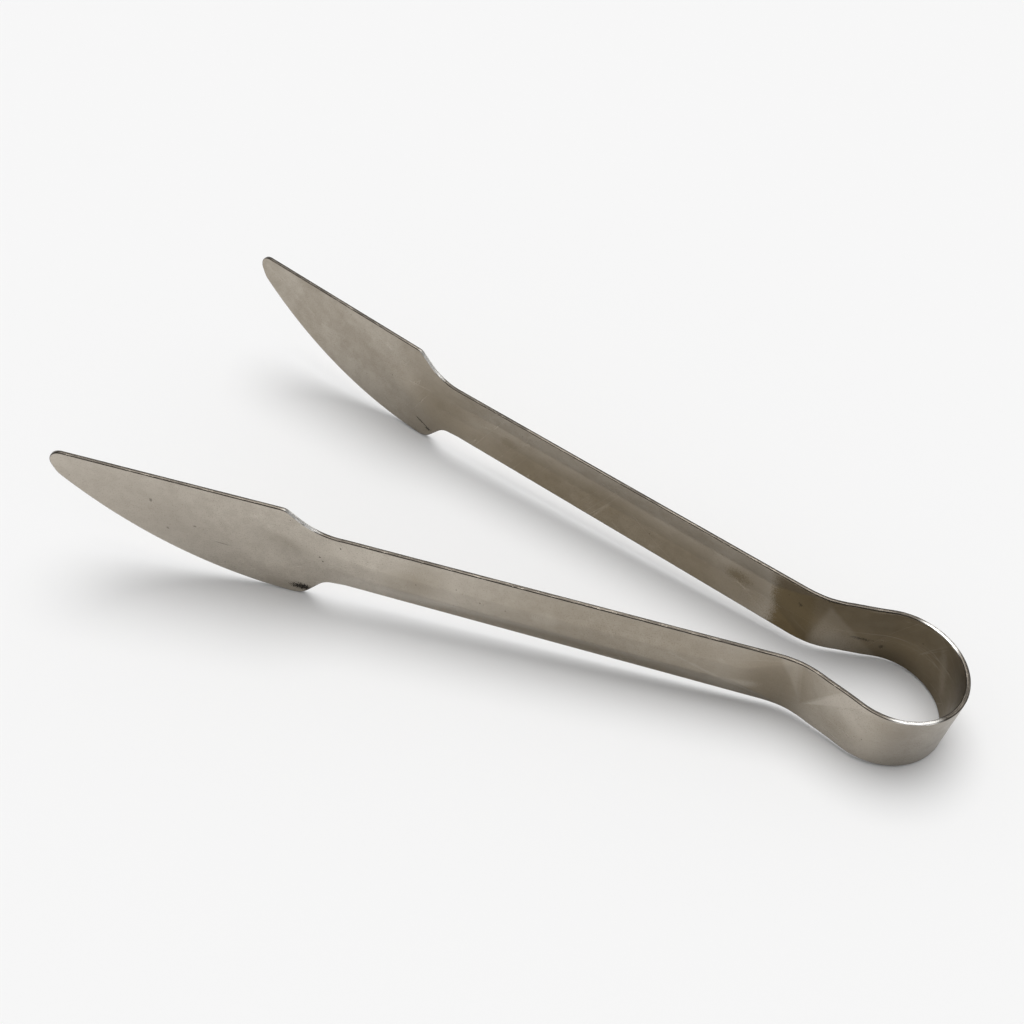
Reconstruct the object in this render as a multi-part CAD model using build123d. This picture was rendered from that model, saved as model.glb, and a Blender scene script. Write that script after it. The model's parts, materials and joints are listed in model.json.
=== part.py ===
"""Sprung ice tongs, made from one bent stainless steel strip.

The strip is modelled as the stretches that a person would name: the crown of the
bow, the links of the bow on each side, and the throat, arm and blade of each jaw.
The bow's links meet face to face, and the bow bends a share at each meeting, which
stands in for the even bending of the metal when the tongs are squeezed.

The strip frame has x along the tongs from the bow to the blades, y across them
(the left jaw is at +y) and z along the width of the strip, with z = 0 at mid-width.
The row frame is the strip frame, leant back until the lower edge of the bow and the
two heels stand on z = 0, with the origin under the middle of the bounding box.
"""
from build123d import *
from math import atan2, cos, degrees, radians, sin
import os

# ---- Driving dimensions: millimetres and degrees ----
STRIP_WIDTH = 19.5         # width of the strip in the bow
STRIP_THICKNESS = 1.2      # thickness of the strip all over

BOW_RADIUS = 17.0          # of the middle of the strip's thickness
BOW_HALF_ANGLE = 108.4     # from the crown to the end of the round part
CROWN_HALF_ANGLE = 18.4    # from the crown to the first hinge line
LINKS_PER_SIDE = 3
BEND_SHARES = [1.0, 0.9, 0.8, 0.7]   # of the squeeze, at each meeting from the crown on
BEND_INSET = 1.2           # how far inside the bow's inner face the bending turns
BOW_STRAIGHT = 9.6         # between the round part and the throat's bend
THROAT_RADIUS = 27.0
THROAT_ANGLE = 29.1

ARM_LENGTH = 116.1
NECK_WIDTH = 18.7          # width of the arm where the blade begins
CHANNEL_DEPTH = 1.6        # how far the arm's floor stands out from its edges
FLOOR_HALF_WIDTH = 3.2     # of the flat floor between the arm's two flanges
CHANNEL_RUN_IN = 28.0      # from the throat to the full depth of the channel
CHANNEL_RUN_OUT = 26.0     # from the full depth of the channel to the blade

BLADE_SPLAY = 1.4          # blade turned out from the arm, so that the blades close flat

# Corners of the blade's outline before rounding: distance from the neck, height
# outwards from the edge of the neck on that side, and the radius of the corner.
SHOULDER_FOOT, SHOULDER_FOOT_RADIUS = (7.0, -0.35), 16.8
SHOULDER, SHOULDER_RADIUS = (15.8, 7.05), 2.8
NOSE_TOP, NOSE_TOP_RADIUS = (86.0, 8.45), 4.1
NOSE_LOW, NOSE_LOW_RADIUS = (82.8, -0.05), 5.7
BELLY, BELLY_RADIUS = (54.5, 6.45), 101.0
HEEL, HEEL_RADIUS = (13.3, 8.75), 6.4
HEEL_FOOT, HEEL_FOOT_RADIUS = (6.1, 0.65), 5.8

# ---- Derived values ----
HALF_WIDTH = STRIP_WIDTH / 2
HALF_NECK = NECK_WIDTH / 2
HALF_THICK = STRIP_THICKNESS / 2
LINK_ANGLE = (BOW_HALF_ANGLE - CROWN_HALF_ANGLE) / LINKS_PER_SIDE
HINGE_ANGLES = [CROWN_HALF_ANGLE + i * LINK_ANGLE for i in range(LINKS_PER_SIDE + 1)]
BOW_END_HEADING = 90 - BOW_HALF_ANGLE
ARM_HEADING = BOW_END_HEADING + THROAT_ANGLE
BLADE_HEADING = ARM_HEADING + BLADE_SPLAY
LEAN_STEPS = 4             # enough for the lean to settle to a micrometre


def heading(angle):
    """Unit vector in the plan, this many degrees from x towards y."""
    return Vector(cos(radians(angle)), sin(radians(angle)), 0)


def bow_point(angle, radius):
    """Point of the left half of the bow, this many degrees round from the crown."""
    return Vector(BOW_RADIUS, 0, 0) + heading(180 - angle) * radius


def bend_pole(meetings):
    """Point that the strip past this many meetings turns about, on the left side."""
    pole = Vector(0, 0, 0)
    for angle, share in list(zip(HINGE_ANGLES, BEND_SHARES))[:meetings]:
        pole += bow_point(angle, BOW_RADIUS - HALF_THICK - BEND_INSET) * share
    return pole * (1 / sum(BEND_SHARES[:meetings]))


# Where the left jaw's stretches begin, on the middle of the strip's thickness.
BOW_END = bow_point(BOW_HALF_ANGLE, BOW_RADIUS)
BEND_START = BOW_END + heading(BOW_END_HEADING) * BOW_STRAIGHT
BEND_CENTRE = BEND_START + heading(BOW_END_HEADING + 90) * THROAT_RADIUS
ARM_START = BEND_CENTRE + heading(ARM_HEADING - 90) * THROAT_RADIUS
NECK = ARM_START + heading(ARM_HEADING) * ARM_LENGTH


def upright(outline):
    """Solid of the strip's full width over a closed outline in the plan."""
    return Pos(0, 0, -HALF_WIDTH) * extrude(Face(Wire(outline)), STRIP_WIDTH, dir=(0, 0, 1))


def ring_sector(start, end):
    """Stretch of the bow between two angles from the crown."""
    outer = BOW_RADIUS + HALF_THICK
    inner = BOW_RADIUS - HALF_THICK
    middle = (start + end) / 2
    return upright([
        Line(bow_point(start, inner), bow_point(start, outer)),
        ThreePointArc(bow_point(start, outer), bow_point(middle, outer), bow_point(end, outer)),
        Line(bow_point(end, outer), bow_point(end, inner)),
        ThreePointArc(bow_point(end, inner), bow_point(middle, inner), bow_point(start, inner)),
    ])


def throat():
    """The straight end of the bow and the reverse bend into the left arm."""
    out = heading(BOW_END_HEADING + 90) * HALF_THICK

    def bend_point(angle, radius):
        return BEND_CENTRE + heading(angle - 90) * radius

    middle = BOW_END_HEADING + THROAT_ANGLE / 2
    outer = THROAT_RADIUS - HALF_THICK
    inner = THROAT_RADIUS + HALF_THICK
    arm_outer = bend_point(ARM_HEADING, outer)
    arm_inner = bend_point(ARM_HEADING, inner)
    return upright([
        Line(BOW_END + out, BEND_START + out),
        ThreePointArc(BEND_START + out, bend_point(middle, outer), arm_outer),
        Line(arm_outer, arm_inner),
        ThreePointArc(arm_inner, bend_point(middle, inner), BEND_START - out),
        Line(BEND_START - out, BOW_END - out),
        Line(BOW_END - out, BOW_END + out),
    ])


def channel_section(run, depth, facing=ARM_HEADING):
    """Cross-section of the left arm, this far along it, with its floor this far out."""
    half = HALF_WIDTH + (HALF_NECK - HALF_WIDTH) * run / ARM_LENGTH
    floor = FLOOR_HALF_WIDTH
    crest = [(0, -half), (depth, -floor), (depth, floor), (0, half)]
    outer = [(out + HALF_THICK, z) for out, z in crest]
    inner = [(out - HALF_THICK, z) for out, z in reversed(crest)]
    middle = ARM_START + heading(ARM_HEADING) * run
    sideways = heading(facing + 90)
    corners = [middle + sideways * out + Vector(0, 0, z) for out, z in outer + inner]
    return Face(Wire.make_polygon(corners, close=True))


def arm():
    """The left arm: a shallow channel that runs out flat at the throat and the blade."""
    return loft([
        channel_section(0, 0),
        channel_section(CHANNEL_RUN_IN, CHANNEL_DEPTH),
        channel_section(ARM_LENGTH - CHANNEL_RUN_OUT, CHANNEL_DEPTH),
        channel_section(ARM_LENGTH, 0, facing=BLADE_HEADING),
    ], ruled=True)


def blade():
    """The left blade: a flat plate with a straight back, round nose and dropped heel."""
    above = [(run, HALF_NECK + rise) for run, rise in (SHOULDER_FOOT, SHOULDER, NOSE_TOP, NOSE_LOW)]
    below = [(run, -HALF_NECK - drop) for run, drop in (BELLY, HEEL, HEEL_FOOT)]
    corners = [(0, HALF_NECK), *above, *below, (0, -HALF_NECK)]
    radii = [SHOULDER_FOOT_RADIUS, SHOULDER_RADIUS, NOSE_TOP_RADIUS, NOSE_LOW_RADIUS,
             BELLY_RADIUS, HEEL_RADIUS, HEEL_FOOT_RADIUS]
    edge = FilletPolyline(*corners, radius=radii)
    neck = Line((0, -HALF_NECK), (0, HALF_NECK))
    plate = extrude(Face(Wire(edge.edges() + neck.edges())), HALF_THICK, both=True)
    flat = Plane(NECK, x_dir=heading(BLADE_HEADING), z_dir=heading(BLADE_HEADING - 90))
    return flat * plate


def strip_parts():
    """Every node, by name, in the strip frame."""
    nodes = {"bow_crown": ring_sector(-CROWN_HALF_ANGLE, CROWN_HALF_ANGLE)}
    left = {}
    for i in range(LINKS_PER_SIDE):
        left[f"bow_link_{i + 1}"] = ring_sector(HINGE_ANGLES[i], HINGE_ANGLES[i + 1])
    left["throat"] = throat()
    left["arm"] = arm()
    left["blade"] = blade()
    for name, solid in left.items():
        nodes[f"left_{name}"] = solid
        nodes[f"right_{name}"] = mirror(solid, about=Plane.XZ)
    return nodes


def rest_lean(nodes):
    """Degrees of lean about y that bring the crown and the heels to one height."""
    lean = 0.0
    for _ in range(LEAN_STEPS):
        crown = (Rot(0, -lean, 0) * nodes["bow_crown"]).bounding_box()
        heel = (Rot(0, -lean, 0) * nodes["left_blade"]).bounding_box()
        reach = NECK.X + HEEL[0]
        lean += degrees(atan2(crown.min.Z - heel.min.Z, reach))
    return lean


def row_placement(nodes, lean):
    """Location that takes the strip frame to the row frame."""
    box = Compound(children=[Rot(0, -lean, 0) * solid for solid in nodes.values()]).bounding_box()
    middle = box.center()
    return Pos(-middle.X, -middle.Y, -box.min.Z) * Rot(0, -lean, 0)


STRIP = strip_parts()
LEAN = rest_lean(STRIP)
TO_ROW = row_placement(STRIP, LEAN)

os.makedirs("parts", exist_ok=True)
for node, solid in STRIP.items():
    export_step(TO_ROW * solid, f"parts/{node}.step")

print(f"lean {LEAN:.3f} degrees, opening between the arms {2 * ARM_HEADING:.1f} degrees")
for meetings in range(1, LINKS_PER_SIDE + 2):
    pole = (TO_ROW * Pos(bend_pole(meetings))).position
    share = sum(BEND_SHARES[:meetings]) / sum(BEND_SHARES)
    print(f"left axis {meetings}: ({pole.X:.4f}, {pole.Y:.4f}, {pole.Z:.4f}), share {share:.4f}")
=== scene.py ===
"""Sprung ice tongs of one bent stainless strip: the finished look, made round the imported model.

The strip is made the way the real one is. A flat blank is cut for each stretch, and one Geometry
Nodes tree, the forming tree, presses the channel into it and bends it along the strip's plan.
Lengths are in metres. Two frames are used:

* the strip frame, with its origin at mid-width in the middle of the bow's crown, x along the
  tongs towards the blades, y towards the left jaw and z across the width of the strip;
* the row frame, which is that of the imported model, in which the tongs stand on z = 0.

A place on the strip is given as along, the distance from the crown measured on the metal,
across, the height from mid-width, and through, from -1 on the inner face to 1 on the outer one.
"""

import json
import logging
from dataclasses import dataclass
from enum import Enum
from math import atan2, cos, pi, radians, sin, tan
from typing import ClassVar

import bmesh
import bpy
import numpy as np
from mathutils import Matrix, Vector

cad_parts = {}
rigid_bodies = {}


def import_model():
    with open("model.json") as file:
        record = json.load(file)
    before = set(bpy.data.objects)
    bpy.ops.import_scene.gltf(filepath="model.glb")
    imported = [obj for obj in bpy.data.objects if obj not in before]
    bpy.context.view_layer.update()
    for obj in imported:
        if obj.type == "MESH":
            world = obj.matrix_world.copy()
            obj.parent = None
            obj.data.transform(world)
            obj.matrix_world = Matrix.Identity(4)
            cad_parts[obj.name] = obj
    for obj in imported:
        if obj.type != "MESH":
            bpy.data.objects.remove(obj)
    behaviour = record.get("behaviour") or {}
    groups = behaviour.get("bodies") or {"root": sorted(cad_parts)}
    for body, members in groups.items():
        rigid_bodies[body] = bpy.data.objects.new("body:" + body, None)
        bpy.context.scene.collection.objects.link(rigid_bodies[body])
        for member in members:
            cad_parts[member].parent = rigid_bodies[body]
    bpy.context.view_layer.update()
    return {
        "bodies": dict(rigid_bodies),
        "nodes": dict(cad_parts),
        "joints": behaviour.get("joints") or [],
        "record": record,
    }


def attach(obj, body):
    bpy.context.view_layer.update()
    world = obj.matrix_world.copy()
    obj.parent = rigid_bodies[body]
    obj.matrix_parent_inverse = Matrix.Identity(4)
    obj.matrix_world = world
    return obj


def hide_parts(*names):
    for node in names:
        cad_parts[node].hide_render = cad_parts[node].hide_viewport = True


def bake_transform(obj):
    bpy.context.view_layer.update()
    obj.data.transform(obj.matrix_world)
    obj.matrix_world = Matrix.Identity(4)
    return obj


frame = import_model()

LOG = logging.getLogger("ice_tongs")
MM = 0.001
PLACE = "strip_place"      # attribute: along (right side negative), across, through
RIM = "rim_distance"       # attribute: distance on the face from the nearest cut edge
WELD = 1e-7                # metres within which two points are one


# ---------------------------------------------------------------------------
# Node trees as Python expressions
# ---------------------------------------------------------------------------
class Value:
    """A node's output socket that arithmetic works on, in shader and geometry trees alike."""

    def __init__(self, graph: "Graph", socket: bpy.types.NodeSocket) -> None:
        """Wraps one output socket.

        Args:
            graph: the graph that the socket's node is in.
            socket: the output socket.
        """
        self.graph = graph
        self.socket = socket

    def math(self, operation: str, *others: "Number") -> "Value":
        """This value put through a Math node.

        Args:
            operation: the Math node's operation.
            others: its second and third values.

        Returns:
            The node's result.
        """
        return self.graph.math(operation, self, *others)

    def __add__(self, other: "Number") -> "Value":
        """self + other."""
        return self.math("ADD", other)

    __radd__ = __add__

    def __sub__(self, other: "Number") -> "Value":
        """self - other."""
        return self.math("SUBTRACT", other)

    def __rsub__(self, other: "Number") -> "Value":
        """other - self."""
        return self.graph.math("SUBTRACT", other, self)

    def __mul__(self, other: "Number") -> "Value":
        """self * other."""
        return self.math("MULTIPLY", other)

    __rmul__ = __mul__

    def __truediv__(self, other: "Number") -> "Value":
        """self / other."""
        return self.math("DIVIDE", other)

    def __rtruediv__(self, other: "Number") -> "Value":
        """other / self."""
        return self.graph.math("DIVIDE", other, self)

    def __abs__(self) -> "Value":
        """abs(self)."""
        return self.math("ABSOLUTE")

    def at_most(self, limit: "Number") -> "Value":
        """The lesser of this value and a limit."""
        return self.math("MINIMUM", limit)

    def at_least(self, limit: "Number") -> "Value":
        """The greater of this value and a limit."""
        return self.math("MAXIMUM", limit)

    def between(self, low: "Number", high: "Number") -> "Value":
        """This value, kept between two limits."""
        return self.at_least(low).at_most(high)

    def step(self, start: float, end: float) -> "Value":
        """A smooth step over a range of this value.

        Args:
            start: where the result is 0.
            end: where the result is 1. It may be the lesser of the two.

        Returns:
            The step, from 0 to 1.
        """
        reverse = start > end
        low, high = min(start, end), max(start, end)
        ends = {"From Min": low, "From Max": high, "Value": self}
        stepped = self.graph.value("ShaderNodeMapRange", ends,
                                   {"interpolation_type": "SMOOTHSTEP"}, "Result")
        return 1.0 - stepped if reverse else stepped


Number = Value | float


class Graph:
    """A node tree under construction."""

    MIX_SHARE, MIX_FIRST, MIX_SECOND = 0, 6, 7      # a colour Mix node's inputs
    MIX_RESULT = 2                                  # and its output

    def __init__(self, tree: bpy.types.NodeTree) -> None:
        """Takes a tree to add nodes to."""
        self.tree = tree

    def node(self, kind: str, sockets: dict[str | int, object] | None = None,
             settings: dict[str, object] | None = None) -> bpy.types.Node:
        """Adds a node of any type.

        Args:
            kind: the node's type.
            sockets: values or links of its inputs, by name or number.
            settings: its own properties, which are set first.

        Returns:
            The node.
        """
        made = self.tree.nodes.new(kind)
        for name, setting in (settings or {}).items():
            setattr(made, name, setting)
        for key, given in (sockets or {}).items():
            socket = made.inputs[key]
            if isinstance(given, Value):
                self.tree.links.new(given.socket, socket)
            else:
                socket.default_value = given
        return made

    def value(self, kind: str, sockets: dict[str | int, object] | None = None,
              settings: dict[str, object] | None = None, output: str | int = 0) -> Value:
        """Adds a node and takes one of its outputs.

        Args:
            kind: the node's type.
            sockets: values or links of its inputs, by name or number.
            settings: its own properties.
            output: the output to take, by name or number.

        Returns:
            That output.
        """
        return Value(self, self.node(kind, sockets, settings).outputs[output])

    def math(self, operation: str, *values: Number) -> Value:
        """Adds a Math node with its operation and values."""
        return self.value("ShaderNodeMath", dict(enumerate(values)), {"operation": operation})

    def split(self, vector: Value) -> list[Value]:
        """The three parts of a vector."""
        node = self.node("ShaderNodeSeparateXYZ", {"Vector": vector})
        return [Value(self, part) for part in node.outputs]

    def vector(self, x: Number, y: Number, z: Number) -> Value:
        """A vector of three values."""
        return self.value("ShaderNodeCombineXYZ", {"X": x, "Y": y, "Z": z})

    def mix(self, share: Number, first: object, second: object) -> Value:
        """Mixes two colours.

        Args:
            share: how much of the second colour there is.
            first: the first colour, a value or (red, green, blue).
            second: the second colour.

        Returns:
            The mixed colour.
        """
        def colour(given: object) -> object:
            """A colour for a socket, with its alpha if it is plain numbers."""
            return given if isinstance(given, Value) else (*given, 1.0)

        sockets = {
            self.MIX_SHARE: share,
            self.MIX_FIRST: colour(first),
            self.MIX_SECOND: colour(second),
        }
        return self.value("ShaderNodeMix", sockets, {"data_type": "RGBA"}, self.MIX_RESULT)


# ---------------------------------------------------------------------------
# The strip: where it lies, how it runs and how wide it is
# ---------------------------------------------------------------------------
class Side(Enum):
    """The two halves of the tongs. The value is the sign of y."""

    LEFT = 1
    RIGHT = -1

    @property
    def word(self) -> str:
        """The side's name, as the model's nodes and bodies begin."""
        return self.name.lower()

    @property
    def jaw(self) -> str:
        """The body of this side's jaw."""
        return f"{self.word}_jaw"


@dataclass(frozen=True)
class StripFrame:
    """The strip frame's place in the row frame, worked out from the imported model."""

    origin: Vector
    along: Vector
    up: Vector

    @classmethod
    def of_model(cls, model: dict) -> "StripFrame":
        """Finds the strip frame from the left jaw's joint and the crown's mesh.


        Returns:
            The frame.
        """
        joint = next(j for j in model["joints"] if j["child"] == Side.LEFT.jaw)
        up = -Vector(joint["axis"]).normalized()
        along = Vector((0.0, 1.0, 0.0)).cross(up)
        corners = [v.co for v in model["nodes"]["bow_crown"].data.vertices]
        runs = [corner.dot(along) for corner in corners]
        heights = [corner.dot(up) for corner in corners]
        crown = min(runs) + StripPlan.thickness / 2
        middle = (min(heights) + max(heights)) / 2
        return cls(along * crown + up * middle, along, up)

    @property
    def to_row(self) -> Matrix:
        """The matrix that takes the strip frame to the row frame."""
        axes = Matrix((self.along, (0.0, 1.0, 0.0), self.up)).transposed().to_4x4()
        return Matrix.Translation(self.origin) @ axes

    def place(self, x: float, y: float, z: float) -> Vector:
        """A point of the strip frame, in the row frame."""
        return self.to_row @ Vector((x, y, z))


@dataclass(frozen=True)
class StripPlan:
    """The line of the left half of the strip in the plan, and the strip's section."""

    width: float = 19.5 * MM
    thickness: float = 1.2 * MM
    edge_radius: float = 0.3 * MM
    bow_radius: float = 17.0 * MM
    bow_angle: float = radians(108.4)
    crown_angle: float = radians(18.4)
    straight: float = 9.6 * MM
    throat_radius: float = 27.0 * MM
    throat_angle: float = radians(29.1)
    arm_length: float = 116.1 * MM
    neck_width: float = 18.7 * MM
    splay: float = radians(1.4)
    splay_length: float = 8.0 * MM     # the neck's bend, half of it on the arm

    @property
    def crown_end(self) -> float:
        """Along the strip, from the crown's middle to the first flexing stretch."""
        return self.bow_radius * self.crown_angle

    @property
    def bow_end(self) -> float:
        """Along the strip, to the end of the round part of the bow."""
        return self.bow_radius * self.bow_angle

    @property
    def throat_start(self) -> float:
        """Along the strip, to the start of the reverse bend."""
        return self.bow_end + self.straight

    @property
    def arm_start(self) -> float:
        """Along the strip, to the start of the arm."""
        return self.throat_start + self.throat_radius * self.throat_angle

    @property
    def neck(self) -> float:
        """Along the strip, to the end of the arm."""
        return self.arm_start + self.arm_length

    def stretches(self) -> list[tuple[float, float]]:
        """The bends and straights of the strip's line, from the crown on.

        Returns:
            The length of each, and its turn towards the left.
        """
        half_splay = self.splay_length / 2
        return [
            (self.bow_end, -self.bow_angle),
            (self.straight, 0.0),
            (self.throat_radius * self.throat_angle, self.throat_angle),
            (self.arm_length - half_splay, 0.0),
            (self.splay_length, self.splay),
            (self.arm_length, 0.0),
        ]

    def point(self, along: float) -> tuple[float, float, float]:
        """A point of the strip's middle line.

        Args:
            along: the distance from the crown.

        Returns:
            x, y and the heading, in radians from x towards y.
        """
        x, y, heading = 0.0, 0.0, pi / 2
        for length, turn in self.stretches():
            run = min(along, length)
            if turn:
                bend = turn / length
                x += (sin(heading + bend * run) - sin(heading)) / bend
                y -= (cos(heading + bend * run) - cos(heading)) / bend
                heading += bend * run
            else:
                x += cos(heading) * run
                y += sin(heading) * run
            along -= run
            if along <= 0.0:
                break
        return x, y, heading

    def half_width(self, along: float) -> float:
        """Half the strip's width, which narrows a little along the arm."""
        share = min(max((along - self.arm_start) / self.arm_length, 0.0), 1.0)
        return (self.width + (self.neck_width - self.width) * share) / 2


# ---------------------------------------------------------------------------
# Blanks: the flat shapes that are cut before the strip is formed
# ---------------------------------------------------------------------------
@dataclass(frozen=True)
class EdgeLine:
    """A long edge of a blank, set in by the edge's radius, at each column of the blank."""

    across: np.ndarray
    lean: np.ndarray      # outward directions, (along, across)


@dataclass(frozen=True)
class Corner:
    """A corner of a blade's outline before it is rounded."""

    run: float            # from the neck
    rise: float           # outwards from the neck's edge on that side
    radius: float


@dataclass(frozen=True)
class BladeOutline:
    """The flat outline of a blade, whose corners are rounded."""

    plan: StripPlan
    above: tuple[Corner, ...] = (
        Corner(7.0 * MM, -0.35 * MM, 16.8 * MM),
        Corner(15.8 * MM, 7.05 * MM, 2.8 * MM),
        Corner(86.0 * MM, 8.44 * MM, 4.1 * MM),
        Corner(82.8 * MM, -0.05 * MM, 5.7 * MM),
    )
    below: tuple[Corner, ...] = (
        Corner(54.5 * MM, 6.45 * MM, 101.0 * MM),
        Corner(13.3 * MM, 8.75 * MM, 6.4 * MM),
        Corner(6.1 * MM, 0.65 * MM, 5.8 * MM),
    )
    arc_step: float = radians(1.0)

    def points(self) -> tuple[np.ndarray, np.ndarray]:
        """The rounded outline from the neck's top corner round the nose to its low corner.

        Returns:
            The points, set in by the edge's radius, and the outward directions there.
        """
        half = self.plan.neck_width / 2
        ends = [Vector((0.0, half)), Vector((0.0, -half))]
        above = [Vector((c.run, half + c.rise)) for c in self.above]
        below = [Vector((c.run, -half - c.rise)) for c in self.below]
        corners = [ends[0], *above, *below, ends[1]]
        radii = [c.radius for c in (*self.above, *self.below)]
        points, outward = [], []

        def keep(point: Vector, heading: float) -> None:
            """Adds a point, and the direction to the left of its heading.

            Args:
                point: a point of the outline.
                heading: the outline's direction there, from the first axis to the second.
            """
            out = Vector((-sin(heading), cos(heading)))
            outward.append(out)
            points.append(point - out * self.plan.edge_radius)

        headings = [atan2(*reversed(b - a)) for a, b in zip(corners, corners[1:])]
        keep(corners[0], headings[0])
        for corner, radius, first, second in zip(corners[1:], radii, headings, headings[1:]):
            turn = (second - first + pi) % (2 * pi) - pi
            tangent = radius * tan(abs(turn) / 2)
            start = corner - Vector((cos(first), sin(first))) * tangent
            steps = max(2, round(abs(turn) / self.arc_step))
            hub_side = 1.0 if turn > 0 else -1.0
            hub = start + Vector((-sin(first), cos(first))) * radius * hub_side
            for i in range(steps + 1):
                heading = first + turn * i / steps
                spoke = Vector((-sin(heading), cos(heading))) * radius * hub_side
                keep(hub - spoke, heading)
        keep(corners[-1], headings[-1])
        return np.array(points), np.array(outward)

    def columns(self, step: float, nose: float, nose_steps: int) -> np.ndarray:
        """Distances from the neck of the blank's columns, closer together round the nose.

        Args:
            step: the spacing on the plain part.
            nose: the length of the part that is spaced for the nose's curve.
            nose_steps: how many columns that part has.

        Returns:
            The distances, the last of them at the nose's tip.
        """
        tip = self.points()[0][:, 0].max()
        plain = even_steps(0.0, tip - nose, step)
        angles = np.linspace(pi / 2, 0.0, nose_steps + 1)[1:]
        return np.concatenate([plain, tip - nose * (1.0 - np.cos(angles))])

    def edge_lines(self, columns: np.ndarray) -> tuple[EdgeLine, EdgeLine]:
        """The blank's two long edges.

        Args:
            columns: distances from the neck.

        Returns:
            The low and the high edge at each column.
        """
        points, outward = self.points()
        tip = int(points[:, 0].argmax())
        lines = []
        for branch in (slice(None, tip - 1 if tip else None, -1), slice(0, tip + 1)):
            runs, heights = points[branch].T
            lean = [np.interp(columns, runs, part) for part in outward[branch].T]
            length = np.hypot(*lean)
            lines.append(EdgeLine(np.interp(columns, runs, heights),
                                  np.stack([part / length for part in lean], axis=1)))
        return lines[0], lines[1]


def even_steps(start: float, end: float, step: float) -> np.ndarray:
    """Evenly spaced numbers, with one more very near each end for the shading there.

    Args:
        start: the first number.
        end: the last number.
        step: the spacing, which is fitted to the range.

    Returns:
        The numbers.
    """
    near = 0.05 * MM
    inner = np.linspace(start, end, max(2, round((end - start) / step)) + 1)
    return np.concatenate([[start, start + near], inner[1:-1], [end - near, end]])


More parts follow.
